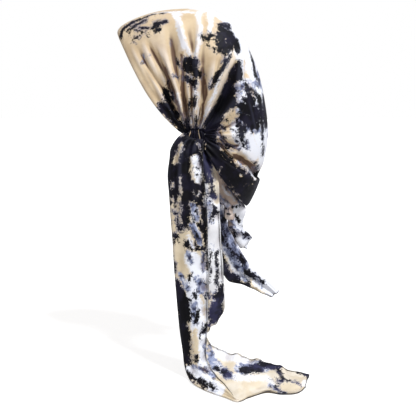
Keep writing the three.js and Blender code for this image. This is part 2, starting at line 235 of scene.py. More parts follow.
def along_path(points, path):
    """How far points lie from a path, below 0 in front of it, and which share of the path is nearest."""
    starts, ends = path[:-1], path[1:]
    lengths = np.linalg.norm(ends - starts, axis=1)
    before = np.concatenate([[0], np.cumsum(lengths)])
    nearest = np.full(len(points), np.inf)
    share, side = np.zeros(len(points)), np.zeros(len(points))
    for start, end, length, so_far in zip(starts, ends, lengths, before):
        way = (end - start) / length
        on = np.clip((points - start) @ way, 0, length)
        off = points - start - on[:, None] * way
        far = np.linalg.norm(off, axis=1)
        closer = far < nearest
        nearest = np.where(closer, far, nearest)
        share = np.where(closer, (so_far + on) / before[-1], share)
        side = np.where(closer, way[1] * off[:, 2] - way[2] * off[:, 1], side)
    return nearest * np.where(side < 0, -1, 1), share


def seen_first(points, pixel):
    """The point that shows nearest to a pixel, and of several there the one in front."""
    away = np.linalg.norm(in_picture(points) - pixel, axis=1)
    near = away < max(1.5, away.min() + 0.7)
    return points[np.argmax(np.where(near, points[:, 0], -np.inf))]


def mirrored_left(points):
    """The same place on the left side, with the right side's pleats a little further forward."""
    offset = points[:, 1:] - GATHER_AT[1:]
    turn = -RIGHT_PLEAT_SHIFT * smooth(-points[:, 0], 0, 0.03)
    y = offset[:, 0] * np.cos(turn) - offset[:, 1] * np.sin(turn)
    z = offset[:, 0] * np.sin(turn) + offset[:, 1] * np.cos(turn)
    return np.stack([np.abs(points[:, 0]), y + GATHER_AT[1], z + GATHER_AT[2]], axis=1)


FAN_OPENS = (1, 13)  # degrees from the gather over which the pleats rise to their full height
FAN_CLOSED = 0.2  # the share of their height at the gather
FAN_ENDS = (0.72, 0.8)  # the share of the way to the nape edge over which they run out
THIN_TO = 22  # degrees from the gather at which the cloth has its full thickness
PUCKER = 0.0011
PUCKERS = 34
PUCKERS_RISE, PUCKERS_FADE = (0.014, 0.024), (0.034, 0.07)  # metres from the gather


def crown_height(u, v, base):
    """How far the outer face stands off its base: the fan's pleats, the single folds and fine puckers."""
    left = mirrored_left(base)
    rise, back = column(CROWN, "z", u) - GATHER_AT[2], column(CROWN, "y", u) - GATHER_AT[1]
    angle = np.degrees(np.arctan2(rise, back)) - np.where(v < 0.5, 0, np.degrees(RIGHT_PLEAT_SHIFT))
    arc = degrees_from_gather(v)
    opened = FAN_CLOSED + (1 - FAN_CLOSED) * smooth(arc, *FAN_OPENS)
    height = np.zeros(len(u))
    for pleat in PLEATS:
        over = np.exp(-(np.abs((angle - pleat["at"]) / pleat["wide"]) ** 1.6))
        height += pleat["high"] * over * (1 - smooth(arc, pleat["reach"] * 0.45, pleat["reach"]))
    height *= opened * (1 - smooth(u, *FAN_ENDS))
    front = left[base[:, 0] > 0]
    for fold in CROWN_FOLDS:
        path = np.array([seen_first(front, pixel) for pixel in np.reshape(fold["path"], (-1, 2))])
        away, share = along_path(left, path)
        flank = np.where(away < 0, fold["front"], fold["back"])
        height += fold["high"] * np.exp(-((away / flank) ** 2)) * smooth(share, 0, fold["grow"]) * opened
    spread = np.linalg.norm((left - GATHER_AT)[:, 1:], axis=1)
    ring = np.arctan2(left[:, 2] - GATHER_AT[2], left[:, 1] - GATHER_AT[1])
    puckers = PUCKER * np.sin(ring * PUCKERS + 3 * np.sin(ring * 5))
    return height + puckers * smooth(spread, *PUCKERS_RISE) * (1 - smooth(spread, *PUCKERS_FADE))


def crown_shape(u, v):
    base = crown_base(u, v)
    normal = normals(crown_base, u, v)
    thick = mix(GATHERED_CLOTH, CLOTH, smooth(degrees_from_gather(v), 0, THIN_TO))
    skin = base + normal * crown_height(u, v, base)[:, None]
    return skin, skin - normal * thick[:, None]


def hollows(grid, reach=4):
    """How deep each point of a grid of cloth lies in a crease, in mm, and below 0 how high on a ridge."""
    kernel = np.ones(2 * reach + 1) / (2 * reach + 1)
    soft = grid
    for _ in range(2):
        for axis in (0, 1):
            pad = [(reach, reach) if k == axis else (0, 0) for k in range(3)]
            wide = np.pad(soft, pad, mode="reflect", reflect_type="odd")
            soft = np.apply_along_axis(np.convolve, axis, wide, kernel, mode="valid")
    normal = np.cross(np.gradient(grid, axis=1), np.gradient(grid, axis=0))
    normal /= np.maximum(np.linalg.norm(normal, axis=2, keepdims=True), 1e-12)
    return 1000 * ((soft - grid) * normal).sum(axis=2)


def finished(name, mesh, *looks):
    """A piece of the scene from its mesh, with its materials."""
    piece = bpy.data.objects.new(name, mesh)
    bpy.context.scene.collection.objects.link(piece)
    for look in looks:
        mesh.materials.append(look)
    return piece


def from_bmesh(name, bm, *looks):
    mesh = bpy.data.meshes.new(name)
    bm.to_mesh(mesh)
    bm.free()
    return finished(name, mesh, *looks)


def cloth(name, lines, steps, shape, flat, grain, looks):
    """A wall of cloth: a grid with an outer and an inner face, which shape(u, v) places, closed round its
    edge. The pile runs along share number grain, and flat is the cloth's size across it and along it."""
    bm = bmesh.new()
    share = bm.verts.layers.float_vector.new("share")
    # The hollow attribute keeps how deep each point lies in a crease, for the velvet's painted crease shade and
    # ridge highlight.
    hollow = bm.verts.layers.float.new("hollow")
    uv = bm.loops.layers.uv.new("flat_cloth")
    for inner in (0, 1):
        verts = bmesh.ops.create_grid(bm, x_segments=lines, y_segments=steps, size=0.5)["verts"]
        shares = np.array([vert.co for vert in verts]) + 0.5
        placed = shape(shares[:, 0], shares[:, 1])
        order = np.lexsort((shares[:, 0].round(6), shares[:, 1].round(6)))
        columns = len(np.unique(shares[:, 0].round(6)))
        skin, back = (face[order].reshape(-1, columns, 3) for face in placed)
        depth = np.empty(len(verts))
        depth[order] = hollows(skin).ravel()
        facing = np.cross(np.gradient(skin, axis=1), np.gradient(skin, axis=0))
        outward = (facing * (skin - back)).sum() > 0
        for vert, (u, v, _), place, deep in zip(verts, shares, placed[inner], depth):
            vert[share] = (u, v, inner)
            vert[hollow] = deep if outward != bool(inner) else -deep
            vert.co = place
        if inner:
            faces = [face for face in bm.faces if face.verts[0][share].z > 0.5]
            bmesh.ops.reverse_faces(bm, faces=faces)
    for face in bm.faces:
        face.material_index = int(face.verts[0][share].z > 0.5)
    bmesh.ops.bridge_loops(bm, edges=[edge for edge in bm.edges if edge.is_boundary])
    for face in bm.faces:
        face.smooth = True
        for loop in face.loops:
            shares = loop.vert[share]
            loop[uv].uv = (shares[1 - grain] * flat[0], shares[grain] * flat[1])
    return from_bmesh(name, bm, *looks)


def points_of(piece):
    co = np.empty(3 * len(piece.data.vertices))
    piece.data.vertices.foreach_get("co", co)
    return co.reshape(-1, 3)


DYES = ("ink", "white", "haze")
NO_DYE = -0.012
DEEP_STROKE_SHADE = 1.3  # how much painted crease shade a deep stroke lays at its edge, as mm of hollow
ROUND_A_FOLD = np.array([0.5, 1, 1])  # what lies deeper counts half, so a stroke reaches round a fold
BLEED, FINE_BLEED = 0.0030, 0.0022  # how far the edges of the dye wander
DRIFT = 0.006
SLIDE, SLIDE_VARIES = 0.012, 0.040
noise.seed_set(11)  # so that the dye wanders in the same way on each run


def drifted(points):
    """How far from its mirror image the right side's dye lies: a little off, and slid along the pleats."""
    from_gather = points - GATHER_AT * (-1, 1, 1)
    drift = DRIFT * np.array([noise.noise_vector(22 * Vector(p)) for p in points])
    slide = np.array([SLIDE + SLIDE_VARIES * noise.noise(15 * Vector(p)) for p in points])
    slide *= smooth(np.linalg.norm(from_gather, axis=1), 0.02, 0.07)
    return (drift + slide[:, None] * unit(from_gather)) * smooth(-points[:, 0], 0, 0.04)[:, None]


def dye(piece, runs, under=(), over=(), mirrored=False):
    """Lays strokes of dye on the cloth, in their order, and keeps them as the vertex attribute dye: how deep
    each vertex lies within the ink, the white and the haze, in mm. The white is bleached cloth, and in places
    painted highlight. Bare strokes clear them, and deep strokes lay painted shade along a sharp crease by
    raising the hollow attribute. A run names its dye, and each stroke in it gives the pixels of its start and
    end and its half widths there. A mirrored piece has its dye on the right side too."""
    points = points_of(piece)
    moved = points + np.array([
        BLEED * noise.noise_vector(60 * Vector(p)) + FINE_BLEED * noise.noise_vector(190 * Vector(p))
        for p in points])
    if mirrored:
        moved = mirrored_left(moved + drifted(points))
    moved *= ROUND_A_FOLD
    depth = {name: np.full(len(points), NO_DYE) for name in DYES}
    hollow = np.empty(len(points))
    piece.data.attributes["hollow"].data.foreach_get("value", hollow)
    placed = [
        (name, seen_first(points, (x0, y0)), seen_first(points, (x1, y1)), wide * PIXEL, tip * PIXEL)
        for name, *strokes in runs for x0, y0, x1, y1, wide, tip in strokes]
    for name, start, end, wide, tip in [*under, *placed, *over]:
        start, end = start * ROUND_A_FOLD, end * ROUND_A_FOLD
        way = end - start
        share = np.clip((moved - start) @ way / max(way @ way, 1e-9), 0, 1)
        inside = mix(wide, tip, share) - np.linalg.norm(moved - start - share[:, None] * way, axis=1)
        # Deep strokes paint shade along a crease: they raise hollow, which the velvet darkens.
        if name == "deep":
            hollow = np.maximum(hollow, DEEP_STROKE_SHADE + 1000 * inside)
            continue
        if name != "bare":
            depth[name] = np.maximum(depth[name], inside)
        for cleared in {"bare": DYES, "ink": ()}.get(name, ("ink",)):
            depth[cleared] = np.minimum(depth[cleared], -inside)
    layer = piece.data.attributes.new("dye", "FLOAT_VECTOR", "POINT")
    layer.data.foreach_set("vector", 1000 * np.stack([depth[name] for name in DYES], axis=1).ravel())
    piece.data.attributes["hollow"].data.foreach_set("value", hollow)


def blots(piece, where, count, seed, dyes=("ink",), long=(0.004, 0.03), wide=(0.002, 0.009)):
    """Strokes of dye strewn over the part of a piece that where(points) picks, on sides that aren't seen."""
    points = points_of(piece)
    points = points[where(points)]
    draw = np.random.default_rng(seed)
    strokes = []
    for _ in range(count):
        start = points[draw.integers(len(points))]
        far = draw.uniform(*long)
        close = points[np.linalg.norm(points - start, axis=1) < far]
        end = close[draw.integers(len(close))]
        strokes.append((dyes[draw.integers(len(dyes))], start, end, draw.uniform(*wide), draw.uniform(*wide)))
    return strokes


def feed(tree, made, inputs):
    """Gives a shader node's inputs their values, or links them to other nodes' sockets."""
    for socket, value in dict(inputs).items():
        if isinstance(value, bpy.types.NodeSocket):
            tree.links.new(value, made.inputs[socket])
        else:
            made.inputs[socket].default_value = value
    return made


def node(tree, kind, inputs=(), **settings):
    made = tree.nodes.new("ShaderNode" + kind)
    for key, value in settings.items():
        setattr(made, key, value)
    return feed(tree, made, inputs)


def colour_mix(tree, share, a, b):
    """Colour a turning to colour b by share. The Mix node's sockets for colour are the seventh and eighth."""
    return node(tree, "Mix", {0: share, 6: a, 7: b}, data_type="RGBA").outputs[2]


def ramp(tree, value, low, high, to=1.0):
    made = node(tree, "MapRange", {"Value": value, "From Min": low, "From Max": high, "To Max": to},
                interpolation_type="SMOOTHSTEP")
    return made.outputs["Result"]


def plus(tree, a, b, times=1.0, less=0.0):
    """a + (b - less) * times"""
    part = node(tree, "Math", {0: b, 1: less}, operation="SUBTRACT").outputs[0]
    return node(tree, "Math", {0: part, 1: times, 2: a}, operation="MULTIPLY_ADD").outputs[0]


def new_look(name):
    """A new material, with its node tree and its shader."""
    material = bpy.data.materials.new(name)
    material.use_nodes = True
    return material, material.node_tree, material.node_tree.nodes["Principled BSDF"]


SLATE = (0.27, 0.31, 0.47, 1)
NAVY = (0.028, 0.030, 0.062, 1)
FRINGE_BLUE = (0.20, 0.22, 0.34, 1)
# Painted highlight that the velvet lays on the ridges, over the cream and over the ink.
RIDGE_HIGHLIGHT_PAINT = (0.93, 0.88, 0.87, 1)
INK_RIDGE_HIGHLIGHT_PAINT = (0.045, 0.047, 0.075, 1)
# Painted shade that the velvet lays in the creases, brown over cream and mauve over white.
CREASE_SHADE_BROWN = (0.11, 0.055, 0.040, 1)
CREASE_SHADE_MAUVE = (0.17, 0.115, 0.12, 1)


def velvet(name, cream, cream_deep, ink=(0.0022, 0.0019, 0.0036), pale=(0.86, 0.88, 0.95), sheen=0.04,
           ridge_highlight=0.35, murk=0.06, crease_shade=0.9):
    """Dyed stretch velvet: cream, with white that is bleached cloth in places and painted highlight in others,
    and near-black dye that feathers along the pile, with marbled patches between them. Painted shade darkens
    the creases and painted highlight lightens the ridges, both read from the hollow attribute."""
    material, tree, shader = new_look(name)
    place = node(tree, "TexCoord").outputs["Object"]
    lie = node(tree, "Mapping", {"Vector": node(tree, "UVMap", uv_map="flat_cloth").outputs["UV"],
                                 "Scale": (1, 0.22, 1)}).outputs["Vector"]
    fields = node(tree, "SeparateXYZ", {0: node(tree, "Attribute", attribute_name="dye").outputs["Vector"]})
    ink_field, white_field, haze_field = fields.outputs
    # The hollow attribute drives the painted shade in the creases and the painted highlight on the ridges.
    hollow = node(tree, "Attribute", attribute_name="hollow").outputs["Fac"]

    def grain(vector, scale, detail, rough, distortion=0.0):
        return node(tree, "TexNoise", {"Vector": vector, "Scale": scale, "Detail": detail,
                                       "Roughness": rough, "Distortion": distortion}).outputs["Fac"]

    feather = grain(place, 120, 10, 0.78, 1.6)
    brushed = grain(lie, 480, 6, 0.72)
    speck = grain(place, 430, 2, 0.5)
    cloud = grain(place, 38, 4, 0.55)
    marble = grain(place, 80, 6, 0.62, 0.5)
    ragged = plus(tree, plus(tree, 0.0, feather, 21, 0.5), brushed, 6, 0.5)
    ink_depth = plus(tree, plus(tree, ink_field, ragged), ramp(tree, speck, 0.61, 0.67), 3.6)
    ink_depth = plus(tree, ink_depth, ramp(tree, speck, 0.38, 0.33), -2.2)
    dark = ramp(tree, ink_depth, -0.35, 0.5)
    fringe = node(tree, "Math", {0: ramp(tree, ink_depth, -3.6, 0.2), 1: ramp(tree, cloud, 0.40, 0.60, 0.75)},
                  operation="MULTIPLY").outputs[0]
    white = ramp(tree, plus(tree, white_field, ragged, 0.8), -2.4, 2.4)
    haze = ramp(tree, plus(tree, haze_field, ragged, 0.9), -2.0, 2.4)
    # Painted highlight on the ridges, from the hollow attribute below 0.
    ridge_highlight_mask = ramp(tree, hollow, -0.25, -1.6, ridge_highlight)
    ground = colour_mix(tree, ramp(tree, cloud, 0.35, 0.65), (*cream, 1), (*cream_deep, 1))
    ground = colour_mix(tree, white, ground, (*pale, 1))
    marbled = colour_mix(tree, ramp(tree, marble, 0.38 - murk, 0.52 - murk), (*pale, 1), SLATE)
    marbled = colour_mix(tree, ramp(tree, marble, 0.51 - murk, 0.66 - murk), marbled, NAVY)
    ground = colour_mix(tree, haze, ground, marbled)
    ground = colour_mix(tree, ridge_highlight_mask, ground, RIDGE_HIGHLIGHT_PAINT)
    # Painted shade in the creases, brown on cream and mauve where the cloth is white.
    crease_shade_colour = colour_mix(tree, ramp(tree, white, 0.1, 0.9), CREASE_SHADE_BROWN, CREASE_SHADE_MAUVE)
    ground = colour_mix(tree, ramp(tree, hollow, 0.15, 1.5, crease_shade), ground, crease_shade_colour)
    ground = colour_mix(tree, fringe, ground, FRINGE_BLUE)
    faded_ink = (3.6 * ink[0], 3.6 * ink[1], 5 * ink[2], 1)
    black = colour_mix(tree, ramp(tree, cloud, 0.44, 0.64), (*ink, 1), faded_ink)
    # Painted highlight on ink that lies on a ridge.
    black = colour_mix(tree, ridge_highlight_mask, black, INK_RIDGE_HIGHLIGHT_PAINT)
    pile = grain(place, 1900, 3, 0.6)
    crush = grain(place, 120, 3, 0.5)
    rough = node(tree, "MapRange",
                 {"Value": crush, "From Min": 0.3, "From Max": 0.7, "To Min": 0.5, "To Max": 0.72})
    lower = node(tree, "Bump", {"Strength": 0.4, "Distance": 0.0014, "Height": crush}).outputs["Normal"]
    bump = node(tree, "Bump", {"Strength": 0.5, "Distance": 0.0003, "Height": pile, "Normal": lower})
    feed(tree, shader, {
        "Base Color": colour_mix(tree, dark, ground, black), "Roughness": rough.outputs["Result"],
        "Normal": bump.outputs["Normal"], "Sheen Weight": sheen, "Sheen Roughness": 0.35,
        "Sheen Tint": (0.80, 0.84, 1.0, 1), "Specular IOR Level": 0.15})
    return material


CREAM = (0.72, 0.57, 0.38)
CREAM_DEEP = (0.62, 0.47, 0.30)
outer_velvet = velvet("dyed_velvet", CREAM, CREAM_DEEP)
reverse_velvet = velvet("velvet_reverse", (0.80, 0.73, 0.62), (0.72, 0.62, 0.47), ink=(0.010, 0.010, 0.017),
                        pale=(0.84, 0.84, 0.87), sheen=0.0, ridge_highlight=0.3, murk=0.0, crease_shade=0.35)

crown = cloth("crown_cloth", lines=300, steps=158, shape=crown_shape, flat=CROWN_FLAT, grain=1,
              looks=(outer_velvet, reverse_velvet))
CROWN_DYE = (
    # The first run of white is bleached cloth, and along the top and the back, where the light falls strongest,
    # painted highlight as well.
    ("white", (176, 13, 182, 38, 3.2, 3.2), (182, 38, 189, 57, 3.2, 1.4), (200, 12, 200, 40, 3, 2.6),
     (200, 40, 196, 58, 2.6, 1.2), (211, 13, 211, 33, 3.4, 2), (150, 13, 180, 11, 0.6, 2),
     (182, 11, 228, 12, 2.2, 3), (230, 17, 246, 38, 5.5, 8.5), (247, 38, 262, 84, 6.5, 5.5),
     (239, 50, 243, 82, 4.5, 4), (248, 80, 264, 90, 3, 4), (250, 48, 255, 76, 5, 4.6)),
    ("bare", (233, 56, 236, 66, 1.6, 2.2), (245, 60, 246, 76, 0.9, 1)),
    # In this run the thin strokes from (231, 50) down to (200, 133), from (176, 94) to (183, 124) and from
    # (200, 92) to (199, 118) are painted highlights along the rear lip, the temple roll and the thin lip.
    ("white", (233, 124, 237, 141, 3.6, 4.6), (247, 138, 255, 155, 8.5, 7), (258, 128, 262, 164, 5, 4.5),
     (240, 147, 250, 153, 3.2, 3.6), (195, 84, 196, 97, 2, 2.2), (231, 50, 225, 66, 1.6, 1.5),
     (225, 66, 212, 101, 1.5, 1.8), (212, 101, 200, 133, 1.5, 1.4), (176, 94, 183, 124, 1.3, 1.8),
     (200, 92, 199, 118, 1.1, 1.1)),
    ("ink", (119, 37, 121, 29, 2.4, 2.6), (121, 29, 135, 20, 2.8, 2.4), (135, 20, 150, 14, 2, 1.4),
     (150, 14, 165, 12, 1.3, 0.8), (127, 30, 133, 26, 1.8, 2.4), (134, 24, 145, 20, 2.2, 2),
     (129, 34, 130, 31, 0.8, 1), (133, 30, 141, 33, 1.6, 1), (138, 27, 147, 27, 1.8, 1.6),
     (143, 32, 147, 34, 0.9, 0.7), (134, 37, 139, 36, 1.7, 1.5), (133, 41, 134, 42, 0.8, 0.7),
     (152, 27, 158, 24, 2.4, 3.4), (156, 24, 164, 21, 3.6, 2.6), (155, 31, 160, 28, 2.4, 2.2)),
    ("haze", (142, 55, 144, 62, 1.6, 2)),
    ("ink", (151, 54, 151, 55, 0.7, 0.7), (174, 58, 178, 62, 1.2, 1.6), (177, 65, 180, 68, 1.6, 1.4),
     (176, 76, 178, 79, 1, 1.2)),
    ("haze", (170, 38, 171, 44, 0.7, 0.7), (164, 65, 167, 73, 0.7, 0.6)),
    ("ink", (165, 90, 169, 100, 2.4, 4.4), (161, 103, 172, 107, 2.6, 5), (165, 109, 176, 115, 5, 5),
     (171, 117, 181, 125, 5, 4), (180, 128, 186, 133, 4.4, 4.2), (169, 80, 175, 99, 1, 2.2),
     (187, 61, 195, 61, 3.8, 4.2), (186, 69, 194, 73, 4.6, 5.2), (186, 77, 193, 82, 3.2, 3.4),
     (194, 84, 197, 89, 2.2, 1.6), (199, 69, 202, 74, 2.4, 2.8)),
    ("haze", (189, 74, 191, 77, 1.4, 1.4)),
    ("ink", (190, 103, 196, 99, 2.8, 2.8), (189, 107, 195, 104, 2.4, 2.4), (188, 107, 187, 121, 1.8, 2.2),
     (187, 120, 189, 132, 2, 2.8), (197, 117, 197, 130, 1.2, 2.4), (190, 130, 200, 132, 3.8, 3.4)),
    ("white", (193, 108, 192, 125, 1.5, 1.5)),
    ("ink", (202, 35, 206, 37, 1.9, 1.9), (207, 38, 212, 34, 2.6, 3), (207, 43, 208, 45, 1.3, 1.1),
     (200, 31, 201, 33, 0.8, 0.8), (223, 27, 229, 25, 3.8, 4), (218, 36, 229, 34, 5, 5.6),
     (222, 29, 230, 32, 3.4, 4.6), (217, 43, 221, 50, 3, 3.4), (223, 40, 226, 50, 4.6, 4.6),
     (229, 33, 236, 42, 4.2, 5.4), (231, 42, 231, 46, 4.6, 4), (236, 42, 239, 50, 4.6, 3)),
    ("bare", (216, 34, 216, 37, 0.6, 0.8)),
    ("ink", (213, 47, 214, 50, 1.2, 1.4), (231, 55, 224, 64, 1.6, 2.8), (224, 64, 217, 77, 2.8, 3.4),
     (215, 78, 209, 87, 3.6, 2.4)),
    ("haze", (213, 80, 211, 84, 1.2, 1.2)),
    ("ink", (238, 62, 237, 78, 3.2, 5), (233, 74, 233, 90, 5.6, 7), (228, 88, 226, 104, 6.6, 8),
     (222, 101, 222, 114, 7, 7.6), (217, 110, 214, 124, 6.4, 7), (211, 120, 209, 136, 5.6, 7),
     (208, 134, 212, 150, 6.6, 6.4), (211, 148, 216, 164, 6.6, 5.6), (215, 146, 221, 158, 4, 4),
     (251, 52, 256, 68, 1.4, 2.4), (255, 68, 258, 78, 2.6, 2)),
    ("white", (247, 96, 258, 122, 8, 8)),
    ("haze", (240, 86, 263, 84, 4.4, 5), (238, 94, 241, 120, 4, 4), (246, 128, 260, 130, 4, 3.6)),
    ("ink", (246, 82, 250, 92, 2.4, 3.2), (249, 92, 253, 100, 2.6, 4.4), (244, 97, 252, 103, 2.6, 5),
     (240, 106, 249, 110, 3.4, 6.2), (249, 108, 257, 114, 6.8, 6.8), (242, 116, 252, 121, 4.4, 6.4),
     (250, 122, 258, 124, 5.2, 4.4), (246, 126, 245, 136, 3.8, 1.6), (239, 118, 237, 124, 2.4, 1.6),
     (253, 88, 259, 98, 1.8, 3.4), (260, 96, 264, 118, 3.6, 4.6), (263, 118, 264, 140, 3.2, 1.6),
     (241, 122, 243, 138, 4.4, 3.4), (243, 138, 247, 149, 3, 1.6), (254, 126, 252, 133, 3, 1.2)),
    ("haze", (246, 140, 249, 150, 1.6, 1.4)),
    ("ink", (264, 144, 264, 155, 1.5, 1.9), (254, 163, 258, 170, 1.5, 1.5)),
    ("white", (240, 88, 245, 92, 1.3, 1.6), (239, 97, 242, 102, 1.4, 1.2), (253, 84, 257, 88, 1.8, 1.8),
     (260, 84, 264, 92, 2, 2), (241, 120, 243, 124, 0.9, 0.8)),
    ("bare", (228, 118, 224, 131, 3.6, 3.6), (226, 133, 233, 146, 3.6, 4.4), (232, 112, 236, 118, 2, 2.4),
     (234, 148, 240, 154, 2.6, 2.6)),
    ("ink", (221, 126, 224, 128, 1.2, 1.6), (222, 137, 226, 140, 1.8, 1), (228, 121, 230, 124, 1.2, 0.8),
     (235, 130, 236, 135, 0.8, 1), (236, 141, 239, 143, 1, 0.8), (230, 127, 232, 130, 0.9, 0.9),
     (225, 147, 231, 149, 1, 0.9), (238, 150, 242, 148, 1, 0.9), (219, 152, 229, 161, 2.6, 3.2),
     (220, 164, 232, 168, 4.6, 5.6), (226, 172, 240, 174, 6.2, 7), (233, 181, 252, 180, 7, 6.4),
     (240, 190, 251, 190, 7, 6.6), (244, 198, 250, 198, 6.2, 5.6), (247, 204, 248, 206, 4.2, 3.6),
     (252, 174, 260, 179, 3.4, 2.6), (257, 180, 248, 206, 3.6, 3.6), (222, 176, 246, 208, 4.4, 4.4),
     (218, 132, 226, 144, 1, 0.9), (226, 144, 236, 147, 0.9, 0.6), (218, 145, 224, 154, 1.2, 1),
     (224, 154, 234, 160, 1, 0.7)),
    ("white", (240, 160, 243, 167, 1.4, 1.3), (248, 166, 251, 172, 1.3, 1.5),
     (252, 171, 256, 177, 1.7, 1.9), (241, 175, 242, 176, 0.7, 0.7)),
    ("haze", (242, 162, 244, 168, 1.2, 1.4)),
    ("bare", (238, 157, 257, 171, 1.2, 1.2)),
    # Painted shade along the sharpest creases: the pouch's panel crease and the pits of the fan's pleats.
    ("deep", (234, 156, 244, 160, 1.8, 2.4), (244, 160, 252, 167, 2.4, 2.4), (252, 167, 259, 174, 2.4, 1.6),
     (164, 68, 170, 84, 0.8, 1.2), (170, 84, 177, 103, 1.2, 1.4), (177, 103, 184, 126, 1.4, 1.2),
     (181, 52, 183, 84, 0.7, 1.2), (183, 84, 184, 106, 1.2, 1.3), (184, 106, 188, 127, 1.3, 1),
     (203, 68, 205, 90, 0.7, 1), (205, 90, 200, 127, 1, 0.9), (215, 127, 225, 143, 1.2, 1.3),
     (225, 143, 238, 147, 1.3, 0.8), (222, 151, 234, 160, 1.2, 1.2)),
)


def cloth_at(u, v):
    """A place on the crown's cloth, by its line and its share of the way over the head."""
    return crown_base(np.array([u]), np.array([v]))[0]


# What the picture doesn't show: the middle of the back, the turned-under panel and the gathers' stitching.
back_strokes = [
    (name, np.array(start), np.array(end), wide, tip)
    for name, start, end, wide, tip in (
        ("white", (0.0, 0.040, 0.078), (0.0, 0.105, 0.050), 0.016, 0.026),
        ("white", (0.0, 0.110, 0.038), (0.0, 0.140, -0.020), 0.040, 0.036),
        ("ink", (0.018, 0.128, 0.010), (0.022, 0.143, -0.018), 0.004, 0.008),
        ("white", (0.034, 0.140, -0.036), (0.030, 0.150, -0.124), 0.020, 0.022),
        ("haze", (0.016, 0.140, -0.030), (0.0, 0.146, -0.046), 0.012, 0.014),
        ("ink", (0.014, 0.150, -0.060), (0.020, 0.156, -0.102), 0.012, 0.018),
        ("ink", (0.0, 0.154, -0.076), (0.004, 0.157, -0.112), 0.008, 0.012),
        ("haze", (0.002, 0.156, -0.114), (0.010, 0.157, -0.122), 0.010, 0.010),
        ("white", (0.006, 0.155, -0.134), (0.006, 0.148, -0.172), 0.026, 0.026),
        ("ink", (0.0, 0.156, -0.126), (0.004, 0.153, -0.146), 0.004, 0.006),
        ("bare", (0.010, 0.128, 0.022), (0.0, 0.138, -0.008), 0.005, 0.003),
        ("bare", (-0.004, 0.152, -0.158), (0.010, 0.147, -0.176), 0.004, 0.006),
        ("ink", (0.0, 0.143, -0.200), (0.0, 0.128, -0.238), 0.020, 0.024),
    )
]
underside = [
    ("white", cloth_at(0.97, 0.42), cloth_at(0.97, 0.58), 0.013, 0.013),
    ("ink", cloth_at(0.985, 0.44), cloth_at(0.965, 0.48), 0.004, 0.006),
]
gather_end = np.array([0, 0.3 * GATHER_LONG, 0])
gather_ink = [
    ("ink", GATHER_AT * (side, 1, 1) - gather_end, GATHER_AT * (side, 1, 1) + gather_end, 0.0115, 0.0115)
    for side in (1, -1)
]
dye(crown, CROWN_DYE, under=back_strokes, over=underside + gather_ink, mirrored=True)
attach(crown, "root")
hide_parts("crown")


# The gathers: at each side the crown's end and the tie's top are stitched together into a short roll of deep
# pleats, which run down over the roll from the crown's fan into the tie.
GATHER_PLEATS = 7
GATHER_PLEAT = 0.0030
GATHER_LEAN = 0.10
GATHER_BLUNT = 0.8  # below 1, the roll's ends are blunter than a ball's
GATHER_OVERLAP = np.array([0.0008, 0, 0.0024])  # how far the roll covers the seam
GATHER_INK = 6
BARE_PLEATS = ((0.40, 0.05), (-0.58, 0.045))  # where the dye missed: the middle and half width along the roll
BARE_LOSS = 11


def gather_roll(name, side):
    """A roll along Y with deep pleats that run over it, a little taller than the seam that it hides."""
    size = np.array([GATHER_THICK, GATHER_LONG, GATHER_HIGH]) / 2 + GATHER_OVERLAP
    bm = bmesh.new()
    bmesh.ops.create_uvsphere(bm, u_segments=110, v_segments=150, radius=1)
    bmesh.ops.rotate(bm, verts=bm.verts, cent=(0, 0, 0), matrix=Matrix.Rotation(math.pi / 2, 3, "X"))
    inks = []
    for vert in bm.verts:
        x, y, z = vert.co
        y = math.copysign(abs(y) ** GATHER_BLUNT, y)
        lean = GATHER_LEAN * z * y + GATHER_LEAN * noise.noise(Vector((x, 2.2 * y, z + 3 * side)))
        fold = abs(math.sin(math.pi * GATHER_PLEATS * (y + lean) / 2))
        deep = GATHER_PLEAT * (fold ** 0.7 - 1) * math.sqrt(max(0, 1 - y ** 4))
        out = Vector((x, 0, 0.35 * z)).normalized() if x * x + z * z > 1e-9 else Vector()
        vert.co = Vector(size * (x, y, z)) + out * deep + Vector(GATHER_AT * (side, 1, 1))
        bare = sum(math.exp(-(((y + lean - at) / wide) ** 2)) for at, wide in BARE_PLEATS)
        inks.append(GATHER_INK - BARE_LOSS * bare)
    for face in bm.faces:
        face.smooth = True
    roll = from_bmesh(name, bm, outer_velvet)
    dyed = np.column_stack([inks, np.full((len(inks), 2), 1000 * NO_DYE)])
    roll.data.attributes.new("dye", "FLOAT_VECTOR", "POINT").data.foreach_set("vector", dyed.ravel())
    return roll


for side, word in ((1, "left"), (-1, "right")):
    roll = gather_roll(f"gather_{word}_pleats", side)
    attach(roll, "root")
    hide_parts(f"gather_{word}")


# The left tie: a long strip of the velvet, folded lengthwise, with dark overlocked thread round its hems. It
# hangs from its gather, and its end lies on the floor.


def strip(*rows):
    """A tie from the gather to its tip. A row holds three places in mm: the folded edge, the near hem, which
    is the outer half's, and the far hem."""
    return [dict(zip(("fold", "near", "far"), np.reshape(row, (3, 3)) / 1000)) for row in rows]


